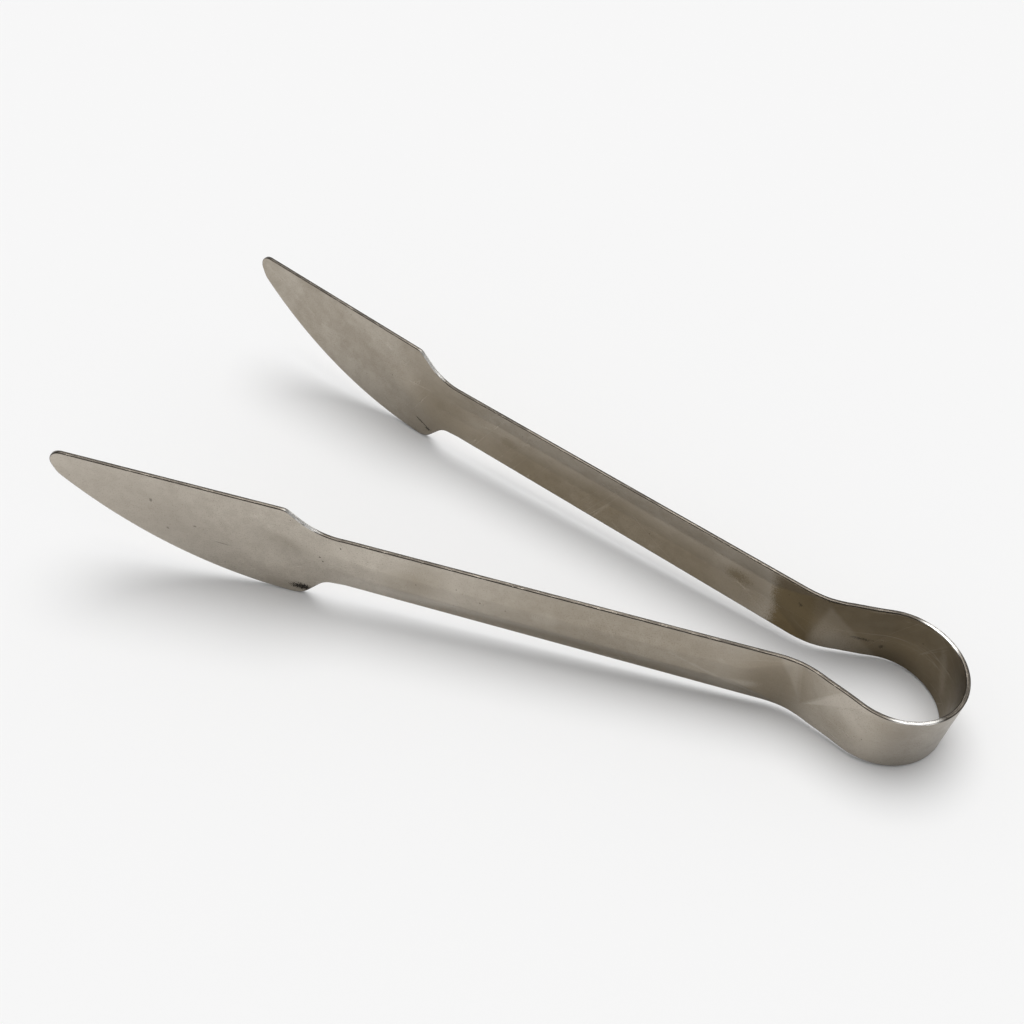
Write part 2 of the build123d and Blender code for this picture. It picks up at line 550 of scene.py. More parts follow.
@dataclass(frozen=True)
class Blank:
    """A flat slab with rounded long edges: x is along the strip, y across it, z through it."""

    name: str
    plan: StripPlan
    columns: np.ndarray
    low: EdgeLine
    high: EdgeLine
    rows: int = 48
    edge_steps: int = 3
    end_reach: float = 1e-6      # how near an end a face's points are, if it closes the end

    @classmethod
    def of_strip(cls, name: str, plan: StripPlan, start: float, end: float,
                 step: float) -> "Blank":
        """A blank for a plain stretch of the strip.

        Args:
            name: the name of its mesh.
            plan: the strip's sizes.
            start: where it starts along the strip.
            end: where it ends.
            step: the spacing of its columns.

        Returns:
            The blank.
        """
        columns = even_steps(start, end, step)
        reach = np.array([plan.half_width(along) for along in columns]) - plan.edge_radius
        up = np.tile((0.0, 1.0), (len(columns), 1))
        return cls(name, plan, columns, EdgeLine(-reach, -up), EdgeLine(reach, up))

    @classmethod
    def of_blade(cls, name: str, plan: StripPlan) -> "Blank":
        """A blank for a blade.

        Args:
            name: the name of its mesh.
            plan: the strip's sizes.

        Returns:
            The blank.
        """
        outline = BladeOutline(plan)
        columns = outline.columns(step=0.6 * MM, nose=5.0 * MM, nose_steps=18)
        low, high = outline.edge_lines(columns)
        return cls(name, plan, columns + plan.neck, low, high)

    def _loops(self) -> tuple[np.ndarray, np.ndarray]:
        """The closed loop of points round the section at each column.

        Returns:
            The points, by column and place in the loop, and their distances from the rim.
        """
        half, radius = self.plan.thickness / 2, self.plan.edge_radius
        shares = np.linspace(0.0, 1.0, self.rows + 1)
        height = self.high.across - self.low.across
        face = self.low.across[:, None] + height[:, None] * shares
        to_high = (self.high.across[:, None] - face) * self.high.lean[:, 1:]
        to_low = (face - self.low.across[:, None]) * -self.low.lean[:, 1:]
        depth = np.minimum(to_high, to_low) + radius
        angles = [pi / 2 * i / self.edge_steps for i in range(1, self.edge_steps + 1)]
        corner = [(radius * sin(a), half - radius * (1 - cos(a))) for a in angles]
        corner += [(reach, -level) for reach, level in reversed(corner)]
        parts, rims = [], []

        def add_face(order: slice, level: float) -> None:
            """Adds the points of a face.

            Args:
                order: the order that its rows are taken in.
                level: its height above mid-thickness.
            """
            across = face[:, order]
            along = np.repeat(self.columns[:, None], across.shape[1], axis=1)
            parts.append(np.stack([along, across, np.full_like(across, level)], axis=2))
            rims.append(depth[:, order])

        def add_edge(line: EdgeLine, profile: list[tuple[float, float]]) -> None:
            """Adds the points round a long edge.

            Args:
                line: the edge.
                profile: how far out and how high each point of its rounding is.
            """
            for reach, level in profile:
                along = self.columns + line.lean[:, 0] * reach
                across = line.across + line.lean[:, 1] * reach
                point = np.stack([along, across, np.full_like(along, level)], axis=1)
                parts.append(point[:, None])
                rims.append(np.full((len(along), 1), radius - reach))

        add_face(slice(None), half)
        add_edge(self.high, corner)
        add_face(slice(None, None, -1), -half)
        add_edge(self.low, [(reach, -level) for reach, level in corner])
        return np.concatenate(parts, axis=1), np.concatenate(rims, axis=1)

    def mesh(self) -> bpy.types.Mesh:
        """Builds the closed slab.

        Returns:
            Its mesh, with the distance from the rim as an attribute.
        """
        points, rims = self._loops()
        count, around = points.shape[:2]
        work = bmesh.new()
        rim = work.verts.layers.float.new(RIM)
        verts = []
        for point, distance in zip(points.reshape(-1, 3), rims.ravel()):
            vert = work.verts.new(point)
            vert[rim] = distance
            verts.append(vert)
        rings = [verts[i * around:(i + 1) * around] for i in range(count)]
        for first, second in zip(rings, rings[1:]):
            for k in range(around):
                after = (k + 1) % around
                work.faces.new((first[k], second[k], second[after], first[after]))
        for ring in (rings[0], rings[-1]):
            self._close(work, ring)
        bmesh.ops.remove_doubles(work, verts=work.verts, dist=WELD)
        bmesh.ops.dissolve_degenerate(work, edges=work.edges, dist=WELD)
        bmesh.ops.recalc_face_normals(work, faces=work.faces)
        for face in work.faces:
            face.smooth = True
        self._sharpen_ends(work)
        made = bpy.data.meshes.new(self.name)
        work.to_mesh(made)
        work.free()
        return made

    def _close(self, work: bmesh.types.BMesh, ring: list) -> None:
        """Closes an end of the slab with faces across its thickness.

        Args:
            work: the mesh under construction.
            ring: the points round the section at that end.
        """
        rows = self.rows
        far = len(ring) // 2 + rows      # the inner face's point over the outer face's first
        for k in range(rows):
            work.faces.new((ring[k], ring[k + 1], ring[far - k - 1], ring[far - k]))
        work.faces.new(ring[rows:far - rows + 1])
        work.faces.new(ring[far:] + ring[:1])

    def _sharpen_ends(self, work: bmesh.types.BMesh) -> None:
        """Marks the sharp borders of the end faces.

        Args:
            work: the mesh under construction.
        """
        ends = (self.columns[0], self.columns[-1])
        for face in work.faces:
            run = [vert.co.x for vert in face.verts]
            upright = max(run) - min(run) < WELD
            if upright and any(abs(run[0] - end) < self.end_reach for end in ends):
                for edge in face.edges:
                    if any(abs(v.co.x - run[0]) > WELD for f in edge.link_faces for v in f.verts):
                        edge.smooth = False


# ---------------------------------------------------------------------------
# Forming: the pressing and bending of a blank
# ---------------------------------------------------------------------------
@dataclass(frozen=True)
class Pressing:
    """The shallow relief that is pressed into the flat strip before it is bent."""

    channel_depth: float = 1.6 * MM
    floor_half_width: float = 3.2 * MM
    fan_start: float = 49.5 * MM         # where the flanges' creases leave the strip's edges
    fan_end: float = 63.0 * MM           # where they reach the channel's floor
    fan_ease: float = 3.0 * MM           # how gently the flanges start
    fade_start: float = 154.0 * MM       # where the channel starts to run out
    fade_end: float = 186.0 * MM
    crease_softness: float = 0.7 * MM
    saddle: float = 42.3 * MM            # where four creases meet, in the throat's bend
    saddle_spread: float = 0.70          # how far along they run for each millimetre across
    saddle_slope: float = 0.030          # of the two facets at the strip's edges
    dish: tuple[float, float] = (192.0 * MM, -2.0 * MM)      # of the dent beside the heel
    dish_size: tuple[float, float] = (16.0 * MM, 9.5 * MM)   # half its length and half its width
    dish_angle: float = radians(29.0)
    dish_depth: float = 0.46 * MM


class FormingTree:
    """The Geometry Nodes tree that forms a flat blank into its stretch of the strip."""

    SIDE = "Side"
    DEPTH = "Channel depth"
    FLOOR = "Floor half width"
    DISH = "Heel dish depth"
    SADDLE = "Saddle slope"
    THICKNESS = "Thickness"
    FINISH = "Finish"

    def __init__(self, plan: StripPlan, pressing: Pressing) -> None:
        """Builds the tree.

        Args:
            plan: the strip's line and section.
            pressing: the strip's relief.
        """
        self.plan = plan
        self.pressing = pressing
        self.tree = bpy.data.node_groups.new("form_strip", "GeometryNodeTree")
        self.graph = Graph(self.tree)
        self.sizes = {
            self.SIDE: 1.0,
            self.DEPTH: pressing.channel_depth,
            self.FLOOR: pressing.floor_half_width,
            self.DISH: pressing.dish_depth,
            self.SADDLE: pressing.saddle_slope,
            self.THICKNESS: plan.thickness,
        }
        for number, (length, turn) in enumerate(plan.stretches(), 1):
            self.sizes[f"Length {number}"] = length
            self.sizes[f"Turn {number}"] = turn
        self._build()

    def _build(self) -> None:
        """Makes the tree's sockets and nodes."""
        make = self.tree.interface.new_socket
        make("Blank", in_out="INPUT", socket_type="NodeSocketGeometry")
        for name in self.sizes:
            make(name, in_out="INPUT", socket_type="NodeSocketFloat")
        make(self.FINISH, in_out="INPUT", socket_type="NodeSocketMaterial")
        make("Formed", in_out="OUTPUT", socket_type="NodeSocketGeometry")
        graph = self.graph
        given = graph.node("NodeGroupInput")
        inputs = {name: Value(graph, given.outputs[name]) for name in self.sizes}
        along, across, level = graph.split(graph.value("GeometryNodeInputPosition"))
        out = level + self._relief(along, across, inputs)
        x, y = self._bend(along, out, inputs)
        side = inputs[self.SIDE]
        through = level / (inputs[self.THICKNESS] * 0.5)
        marked = graph.value("GeometryNodeStoreNamedAttribute", {
            "Geometry": Value(graph, given.outputs["Blank"]),
            "Name": PLACE,
            "Value": graph.vector(along * side, across, through),
        }, {"data_type": "FLOAT_VECTOR", "domain": "POINT"})
        formed = graph.value("GeometryNodeSetPosition", {
            "Geometry": marked,
            "Position": graph.vector(x, y * side, across),
        })
        real = graph.value("GeometryNodeRealizeInstances", {"Geometry": formed})
        dressed = graph.value("GeometryNodeSetMaterial", {
            "Geometry": real,
            "Material": Value(graph, given.outputs[self.FINISH]),
        })
        graph.node("NodeGroupOutput", {"Formed": dressed})

    def _relief(self, along: Value, across: Value, inputs: dict[str, Value]) -> Value:
        """How far the metal is pressed outwards.

        Args:
            along: distance from the crown.
            across: height from mid-width.
            inputs: the tree's sizes.

        Returns:
            The distance.
        """
        plan, pressing = self.plan, self.pressing
        narrowing = ((along - plan.arm_start) / plan.arm_length).between(0.0, 1.0)
        half = (plan.width - (plan.width - plan.neck_width) * narrowing) * 0.5
        flange = plan.width / 2 - inputs[self.FLOOR]
        slope = inputs[self.DEPTH] / flange
        span = pressing.fan_end - pressing.fan_start
        opened = ((along - pressing.fan_start) / span).between(0.0, 1.0)
        rise = (half - abs(across)).math("SMOOTH_MIN", flange * opened, pressing.crease_softness)
        fade = along.step(pressing.fade_end, pressing.fade_start)
        start = along.step(pressing.fan_start, pressing.fan_start + pressing.fan_ease)
        channel = rise * slope * fade * start

        apart = abs(along - pressing.saddle) / pressing.saddle_spread
        facet = (abs(across) - apart).math("SMOOTH_MAX", 0.0, pressing.crease_softness)
        saddle = facet * inputs[self.SADDLE]

        run, height = along - pressing.dish[0], across - pressing.dish[1]
        turn_x, turn_y = cos(pressing.dish_angle), sin(pressing.dish_angle)
        lengthways = (run * turn_x + height * turn_y) / pressing.dish_size[0]
        widthways = (height * turn_x - run * turn_y) / pressing.dish_size[1]
        away = (lengthways * lengthways + widthways * widthways).math("SQRT")
        return channel + saddle - away.step(1.0, 0.0) * inputs[self.DISH]

    def _bend(self, along: Value, out: Value, inputs: dict[str, Value]) -> tuple[Value, Value]:
        """Bends the strip along its plan.

        Args:
            along: distance from the crown.
            out: distance outwards from the strip's middle line.
            inputs: the tree's sizes.

        Returns:
            x and y of the left half in the strip frame.
        """
        x: Number = 0.0
        y: Number = 0.0
        start: Number = 0.0
        heading: Number = pi / 2
        here: Number = pi / 2
        for number, (_, turn) in enumerate(self.plan.stretches(), 1):
            length, angle = inputs[f"Length {number}"], inputs[f"Turn {number}"]
            run = (along - start).at_most(length)
            if number > 1:
                run = run.at_least(0.0)
            facing = heading if isinstance(heading, Value) else self.graph.math("ADD", heading, 0.0)
            if turn:
                bend = angle / length
                ahead = facing + bend * run
                x = (ahead.math("SINE") - facing.math("SINE")) / bend + x
                y = (facing.math("COSINE") - ahead.math("COSINE")) / bend + y
                here = bend * run + here
                heading = facing + angle
            else:
                x = facing.math("COSINE") * run + x
                y = facing.math("SINE") * run + y
            start = length + start
        return x - here.math("SINE") * out, y + here.math("COSINE") * out

    def form(self, blank: Blank, side: Side, finish: bpy.types.Material,
             place: StripFrame) -> bpy.types.Object:
        """Forms a blank into a finished piece in the row frame.

        Args:
            blank: the flat blank.
            side: the side of the tongs it is for.
            finish: the piece's material.
            place: where the strip lies.

        Returns:
            The piece, a plain mesh at the origin.
        """
        flat = bpy.data.objects.new(f"{blank.name}_blank", blank.mesh())
        bpy.context.scene.collection.objects.link(flat)
        modifier = flat.modifiers.new("form", "NODES")
        modifier.node_group = self.tree
        values = {**self.sizes, self.SIDE: float(side.value), self.FINISH: finish}
        for item in self.tree.interface.items_tree:
            if item.in_out == "INPUT" and item.name in values:
                modifier[item.identifier] = values[item.name]
        depsgraph = bpy.context.evaluated_depsgraph_get()
        formed = bpy.data.meshes.new_from_object(flat.evaluated_get(depsgraph))
        flat.modifiers.remove(modifier)
        bpy.data.objects.remove(flat)
        formed.name = blank.name
        formed.transform(place.to_row)
        if side is Side.RIGHT:
            formed.flip_normals()
        piece = bpy.data.objects.new(blank.name, formed)
        bpy.context.scene.collection.objects.link(piece)
        return piece


# ---------------------------------------------------------------------------
# The finish
# ---------------------------------------------------------------------------
class Face(Enum):
    """Which face of the strip a patch, or a facet's painted light, is on."""

    OUTER = 1
    INNER = -1


class Tone(Enum):
    """What a patch does to the metal's colour. Some patches are stains and marks; the darker tones
    also lay painted shade, and the bright one painted highlights.
    """

    BRIGHT = "bright"
    DULL = "dull"
    TARNISH = "tarnish"
    SOOT = "soot"


@dataclass(frozen=True)
class Stain:
    """A soft-edged patch of another tone, an oval in the strip's own coordinates. Some are stains
    and marks, some are painted shade and some are painted highlights.
    """

    face: Face
    tone: Tone
    strength: float
    along: float          # of its middle, in millimetres
    across: float
    long: float           # half its length and half its height, in millimetres
    high: float
    side: Side | None = None       # both sides, where it is None
    ragged: float = 0.5
    soft: float = 0.6     # share of the oval that fades
    slant: float = 0.0    # millimetres along for each millimetre across


STAINS_AND_PAINTED_LIGHT = (
    # The bow and the throat, darkened inside: tarnish, and painted shade inside the bow and the
    # throat, where the faces look into each other.
    Stain(Face.INNER, Tone.TARNISH, 0.80, 0.0, 0.0, 63.5, 60.0, soft=0.05, ragged=0.07, slant=0.12),
    Stain(Face.INNER, Tone.TARNISH, 0.72, 57.0, 2.0, 8.0, 60.0, soft=0.45, ragged=0.25, slant=0.15),
    Stain(Face.INNER, Tone.SOOT, 0.26, 30.0, 7.0, 40.0, 9.0, soft=0.6, ragged=0.3),
    Stain(Face.INNER, Tone.SOOT, 0.22, 27.0, -9.0, 10.0, 7.0, soft=0.9),
    # Painted highlights on the inner faces of the bow and the throat's bend.
    Stain(Face.INNER, Tone.BRIGHT, 0.22, 43.0, -7.0, 8.5, 8.5, soft=0.9, slant=0.55),
    Stain(Face.INNER, Tone.BRIGHT, 0.16, 12.5, -0.5, 2.5, 9.0, soft=0.9, slant=0.5),
    # The arms' inner faces: tarnish, and painted shade where the arms face each other.
    Stain(Face.INNER, Tone.TARNISH, 0.30, 126.0, 0.0, 69.0, 60.0, soft=0.25, ragged=0.15),
    Stain(Face.INNER, Tone.TARNISH, 0.46, 118.0, -7.0, 62.0, 12.0, soft=0.6, ragged=0.25),
    Stain(Face.INNER, Tone.TARNISH, 0.30, 69.0, -1.0, 10.0, 11.0, soft=0.9, ragged=0.4),
    Stain(Face.INNER, Tone.TARNISH, 0.34, 180.0, -3.0, 17.0, 16.0, soft=0.9, ragged=0.4),
    # The arms' outer faces: darker from the throat on, and painted shade along the low flanges,
    # which face down towards the floor.
    Stain(Face.OUTER, Tone.TARNISH, 0.40, 92.0, 2.0, 60.0, 22.0, soft=0.75, ragged=0.2),
    # Painted shade along the low flanges of the arms.
    Stain(Face.OUTER, Tone.TARNISH, 0.58, 114.0, -11.0, 66.0, 8.2, soft=0.45, ragged=0.12),
    Stain(Face.OUTER, Tone.TARNISH, 0.56, 54.0, -1.0, 15.0, 22.0, soft=0.8, ragged=0.25),
    Stain(Face.OUTER, Tone.TARNISH, 0.24, 24.0, 6.0, 9.0, 11.0, soft=0.9, ragged=0.3),
    Stain(Face.OUTER, Tone.SOOT, 0.34, 10.0, 0.0, 19.0, 40.0, soft=0.6, ragged=0.2),
    Stain(Face.OUTER, Tone.TARNISH, 0.24, 36.0, -3.0, 12.0, 7.0, soft=0.9, ragged=0.3),
    # Painted highlights where the flanges' creases run out in the throat.
    Stain(Face.OUTER, Tone.BRIGHT, 0.46, 63.0, -3.4, 7.0, 2.6, soft=0.9, ragged=0.3, slant=-1.4),
    Stain(Face.OUTER, Tone.BRIGHT, 0.34, 68.0, -3.0, 2.4, 6.0, Side.LEFT, ragged=0.3, soft=0.9,
          slant=2.8),
    Stain(Face.OUTER, Tone.TARNISH, 0.26, 148.0, 4.0, 9.0, 9.0, soft=0.9, ragged=0.5),
    Stain(Face.OUTER, Tone.TARNISH, 0.24, 154.0, 0.0, 8.0, 7.0, ragged=0.8),
    # A painted highlight on the upper part of the neck, where the arm meets the blade.
    Stain(Face.OUTER, Tone.BRIGHT, 0.70, 173.0, 4.5, 13.0, 8.0, soft=0.8, slant=-0.9),
    # The blades.
    Stain(Face.OUTER, Tone.TARNISH, 0.20, 186.0, -15.5, 14.0, 3.5, soft=0.9, ragged=0.4),
    Stain(Face.OUTER, Tone.DULL, 0.40, 240.0, 3.0, 34.0, 16.0, soft=0.6, ragged=0.3),
    Stain(Face.OUTER, Tone.TARNISH, 0.14, 188.0, 3.0, 9.0, 6.0, soft=0.9, ragged=0.3, slant=1.2),
    Stain(Face.OUTER, Tone.SOOT, 0.96, 184.6, -14.6, 3.1, 1.15, Side.LEFT, ragged=1.7, soft=0.3),
    Stain(Face.INNER, Tone.SOOT, 0.85, 185.6, -12.4, 1.0, 1.7, Side.RIGHT, ragged=1.6, soft=0.5,
          slant=2.2),
    Stain(Face.INNER, Tone.SOOT, 0.85, 183.7, -13.6, 1.4, 0.8, Side.RIGHT, ragged=1.6, soft=0.5),
    # Small marks.
    Stain(Face.INNER, Tone.TARNISH, 0.60, 74.0, -1.0, 5.0, 3.0, Side.RIGHT, ragged=1.1, soft=0.9),
    Stain(Face.INNER, Tone.TARNISH, 0.34, 153.0, -1.5, 4.5, 3.0, Side.RIGHT, ragged=1.2, soft=0.9),
    Stain(Face.INNER, Tone.SOOT, 0.70, 36.5, -3.0, 2.7, 0.6, Side.RIGHT, ragged=1.7, slant=1.6),
    Stain(Face.INNER, Tone.SOOT, 0.65, 38.5, -2.6, 1.8, 0.35, Side.RIGHT, ragged=1.7, slant=1.6),
    Stain(Face.INNER, Tone.SOOT, 0.60, 31.0, -5.0, 0.7, 0.8, Side.RIGHT, ragged=1.2),
    Stain(Face.INNER, Tone.SOOT, 0.50, 55.0, 2.5, 0.9, 0.7, Side.RIGHT, ragged=1.6),
    Stain(Face.OUTER, Tone.SOOT, 0.90, 178.4, 0.8, 0.34, 0.34, Side.LEFT, ragged=0.4),
    Stain(Face.OUTER, Tone.SOOT, 0.85, 177.6, -0.7, 0.28, 0.36, Side.LEFT, ragged=0.4),
    Stain(Face.OUTER, Tone.SOOT, 0.85, 172.2, 6.6, 0.26, 0.42, Side.LEFT, ragged=0.4),
    Stain(Face.OUTER, Tone.SOOT, 0.50, 227.0, 7.4, 0.50, 0.8, Side.LEFT, ragged=0.9),
    Stain(Face.OUTER, Tone.SOOT, 0.45, 215.0, 0.5, 0.6, 0.45, Side.LEFT, ragged=0.9),
    Stain(Face.OUTER, Tone.SOOT, 0.40, 223.5, -3.0, 0.5, 0.5, Side.LEFT, ragged=1.0),
    Stain(Face.OUTER, Tone.SOOT, 0.35, 207.5, -4.0, 3.0, 0.30, Side.LEFT, ragged=1.0, slant=3.0),
)


@dataclass(frozen=True)
class Facet:
    """A wedge painted lighter or darker, between two creases that leave the star where the metal
    folds: the painted highlights and painted shade of the fold's facets.
    """

    face: Face
    tone: Tone
    strength: float
    slants: tuple[float, float]    # of the creases: along for each millimetre across
    star: tuple[float, float] = (46.0, -5.5)      # along and across, in millimetres
    soft: float = 0.7              # how wide each crease is, in millimetres


# Painted highlights on the facets of the throat's fold, and one wedge of painted shade.
PAINTED_FACET_LIGHT = (
    Facet(Face.OUTER, Tone.BRIGHT, 0.60, (-1.04, -0.60)),
    Facet(Face.OUTER, Tone.TARNISH, 0.20, (-0.60, 0.22)),
    Facet(Face.OUTER, Tone.BRIGHT, 0.22, (0.22, 0.62), soft=1.4),
    Facet(Face.INNER, Tone.BRIGHT, 0.13, (0.95, -0.15), star=(48.5, 9.7), soft=2.2),
)


@dataclass(frozen=True)
class Grain:
    """A noise in the metal, from coarse clouds to fine pits."""

    repeats: float        # in a metre
    layers: float         # how many finer layers it has
    rough: float          # how strong those are


@dataclass(frozen=True)
class Ramp:
    """A smooth step over a value, and how strong its result is."""

    start: float
    end: float
    strength: float = 1.0

    def over(self, value: Value) -> Value:
        """The step over a value, from 0 to the ramp's strength."""
        return value.step(self.start, self.end) * self.strength


@dataclass(frozen=True)
class Scratch:
    """A family of fine parallel scratches."""

    angle: float
    repeats: float        # in a metre


@dataclass(frozen=True)
class TumbledStainless:
    """Satin stainless steel, tumbled, handled and lightly stained, with painted shade, painted
    highlights and painted glints in its colour.
    """

    SOFT_SHARE: ClassVar[float] = 0.4    # of a speck's or a print's radius, inside its soft edge

    name: str = "tumbled_stainless"
    bright: tuple[float, float, float] = (0.525, 0.478, 0.412)
    dull: tuple[float, float, float] = (0.355, 0.313, 0.262)
    # Dark brown and near black: for tarnish, soot and specks, and for the painted shade inside the
    # bow, on the inner faces and along the low flanges.
    tarnish: tuple[float, float, float] = (0.136, 0.099, 0.048)
    soot: tuple[float, float, float] = (0.012, 0.009, 0.006)
    cut: tuple[float, float, float] = (0.055, 0.048, 0.04)    # the dark corners of the sheared rim
    # Near white, for the painted glint on the upper rim.
    burnished: tuple[float, float, float] = (0.92, 0.90, 0.86)

    # The metal's noises, and how far the drawing of the strip stretches the last of them.
    cloud: Grain = Grain(65.0, 3.0, 0.55)
    mottle: Grain = Grain(330.0, 5.0, 0.62)
    pitting: Grain = Grain(2600.0, 3.0, 0.6)
    streak: Grain = Grain(1400.0, 3.0, 0.6)
    streak_stretch: float = 0.05
    streak_gap: float = 1.0 * MM        # from mid-thickness to each face's streaks
    face_gap: float = 20.0 * MM         # and to its other noises
    inner_face: Ramp = Ramp(0.2, -0.2)  # from 0 on the outer face to 1 on the inner one

    # What is dull, and what is tarnished all over. The inner faces are darkened all over, as
    # tarnish and as painted shade between the arms and inside the bow.
    dull_clouds: Ramp = Ramp(0.32, 0.70, 0.20)
    dull_mottle: Ramp = Ramp(0.38, 0.62, 0.24)
    dull_pits: Ramp = Ramp(0.42, 0.62, 0.16)
    dull_streaks: Ramp = Ramp(0.55, 0.75, 0.08)
    inside_tarnish: float = 0.20
    inside_clouds: Ramp = Ramp(0.40, 0.62, 0.12)
    dark_pits: Ramp = Ramp(0.54, 0.70, 0.36)
    edge_weights: tuple[float, float, float] = (0.7, 1.0, 2.4)    # of the noises in a patch's edge

    # Specks and scratches.
    speck_spacing: float = 3.6 * MM
    speck_radius: float = 0.24 * MM
    speck_waver: float = 0.05           # how uneven the specks are
    speck_chance: Ramp = Ramp(0.48, 0.66)
    speck_strength: float = 0.75
    scratch_sets: tuple[Scratch, ...] = (
        Scratch(radians(4.0), 700.0),
        Scratch(radians(-23.0), 520.0),
        Scratch(radians(58.0), 430.0),
    )
    scratch_stretch: float = 0.045
    scratch_gap: float = 5.0 * MM       # from mid-thickness to each face's scratches
    scratch_width: Ramp = Ramp(0.011, 0.002)
    scratch_patches: Ramp = Ramp(0.56, 0.66)
    patch_share: float = 0.31           # the patches' repeats over the scratches'
    scratch_strength: float = 0.12

    # A fingerprint on the left arm.
    touch: tuple[float, float] = (115.0 * MM, 1.4 * MM)
    touch_reach: float = 5.0 * MM
    touch_squash: float = 2.2
    touch_ridges: float = 0.62 * MM
    touch_waver: Grain = Grain(260.0, 1.0, 0.5)
    touch_bend: float = 1.0 * MM        # how far the noise bends the ridges
    touch_fill: Ramp = Ramp(-0.2, 0.7)
    touch_strength: float = 0.55

    # The rim, by the distance on the face from the cut edge.
    worn_edge: Ramp = Ramp(0.45 * MM, 0.25 * MM)
    worn_patches: Ramp = Ramp(0.46, 0.60)
    worn_strength: float = 0.6
    cut_edge: Ramp = Ramp(0.29 * MM, 0.18 * MM)
    cut_gaps: Ramp = Ramp(0.58, 0.64, 0.7)
    sheared_edge: Ramp = Ramp(0.04 * MM, 0.0)
    sheared_tone: float = 0.05
    sheared_patches: Ramp = Ramp(0.46, 0.58, 0.24)
    # Painted glints on the upper rim, at two places along it.
    rubbed_rims: tuple[tuple[float, float], ...] = (          # middle and half length
        (18.5 * MM, 8.0 * MM),
        (183.0 * MM, 6.0 * MM),
    )
    rubbed_height: Ramp = Ramp(0.0, 5.0 * MM)
    rubbed_edge: Ramp = Ramp(0.30 * MM, 0.12 * MM)
    rubbed_patches: Ramp = Ramp(0.36, 0.50)
    rubbed_ends: float = 2.0            # how quickly the glint starts

    # Roughness and relief.
    roughness: float = 0.36
    mottle_roughness: float = 0.22
    streak_roughness: float = 0.12
    worn_polish: float = 0.14
    scratch_polish: float = 0.08
    streak_relief: float = 0.55
    pit_relief: float = 0.22
    scratch_relief: float = 0.6
    relief_strength: float = 0.5
    relief_depth: float = 0.025 * MM

    def material(self) -> bpy.types.Material:
        """Builds the material.

        Returns:
            The material.
        """
        made = bpy.data.materials.new(self.name)
        made.use_nodes = True
        made.node_tree.nodes.clear()
        graph = Graph(made.node_tree)
        place = graph.value("ShaderNodeAttribute", None, {"attribute_name": PLACE}, "Vector")
        rim = graph.value("ShaderNodeAttribute", None, {"attribute_name": RIM}, "Fac")
        along, across, through = graph.split(place)
        inside = self.inner_face.over(through)
        metal = graph.vector(along, across, through * self.face_gap)
        drawn = graph.vector(along * self.streak_stretch, across, through * self.streak_gap)

        cloud = self._noise(graph, metal, self.cloud)
        mottle = self._noise(graph, metal, self.mottle)
        pitting = self._noise(graph, metal, self.pitting)
        streak = self._noise(graph, drawn, self.streak)
        scratched = self._scratches(graph, along, across, through)
        worn = self.worn_edge.over(rim) * self.worn_patches.over(mottle)

        dullness = (self.dull_clouds.over(cloud) + self.dull_mottle.over(mottle)
                    + self.dull_pits.over(pitting) + self.dull_streaks.over(streak))
        colour = graph.mix(dullness, self.bright, self.dull)
        # The inner faces darkened all over: tarnish, and painted shade between the arms and inside
        # the bow.
        tarnish_and_shade_inside = inside * (self.inside_tarnish + self.inside_clouds.over(cloud))
        colour = graph.mix(tarnish_and_shade_inside, colour, self.tarnish)
        where = (along, across, inside)
        for patch in STAINS_AND_PAINTED_LIGHT:
            colour = self._stain(graph, patch, where, (cloud, mottle, pitting), colour)
        # Painted highlights and painted shade on the facets of the throat's fold.
        for facet in PAINTED_FACET_LIGHT:
            colour = self._facet(graph, facet, where, colour)
        colour = graph.mix(self.dark_pits.over(pitting), colour, self.tarnish)
        specks = self._specks(graph, metal, mottle) * self.speck_strength
        colour = graph.mix(specks, colour, self.soot)
        colour = graph.mix(scratched * self.scratch_strength, colour, self.bright)
        colour = graph.mix(self._touch(graph, along, across, inside), colour, self.bright)
        colour = graph.mix(worn * self.worn_strength, colour, self.bright)
        colour = self._edge(graph, (along, across, rim), (cloud, mottle), colour)

        roughness = (self.roughness + (mottle - 0.5) * self.mottle_roughness
                     + (streak - 0.5) * self.streak_roughness
                     - worn * self.worn_polish - scratched * self.scratch_polish)
        height = (mottle + streak * self.streak_relief + pitting * self.pit_relief
                  - scratched * self.scratch_relief)
        bump = graph.value("ShaderNodeBump", {
            "Height": height,
            "Strength": self.relief_strength,
            "Distance": self.relief_depth,
        }, None, "Normal")
        shader = graph.value("ShaderNodeBsdfPrincipled", {
            "Base Color": colour,
            "Metallic": 1.0,
            "Roughness": roughness,
            "Normal": bump,
        })
        graph.node("ShaderNodeOutputMaterial", {"Surface": shader})
        return made

    @staticmethod
    def _noise(graph: Graph, where: Value, grain: Grain) -> Value:
        """Smooth noise from 0 to 1.

        Args:
            graph: the material's graph.
            where: the coordinates, in metres.
            grain: how fine and how rough it is.

        Returns:
            The noise.
        """
        sockets = {
            "Vector": where,
            "Scale": grain.repeats,
            "Detail": grain.layers,
            "Roughness": grain.rough,
        }
        return graph.value("ShaderNodeTexNoise", sockets, None, "Fac")

    def _edge(self, graph: Graph, where: tuple[Value, Value, Value],
              noises: tuple[Value, Value], colour: Value) -> Value:
        """Lays the dark corners, the sheared flat and the painted glints over the rim.

        Args:
            graph: the material's graph.
            where: along, across and the distance from the rim.
            noises: coarse and finer noise.
            colour: the colour of the face.

        Returns:
            The changed colour.
        """
        along, across, rim = where
        cloud, mottle = noises
        corner = self.cut_edge.over(rim) * (1.0 - self.cut_gaps.over(mottle))
        colour = graph.mix(corner, colour, self.cut)
        tone = self.sheared_tone + self.sheared_patches.over(cloud)
        colour = graph.mix(self.sheared_edge.over(rim) * tone, colour, self.dull)
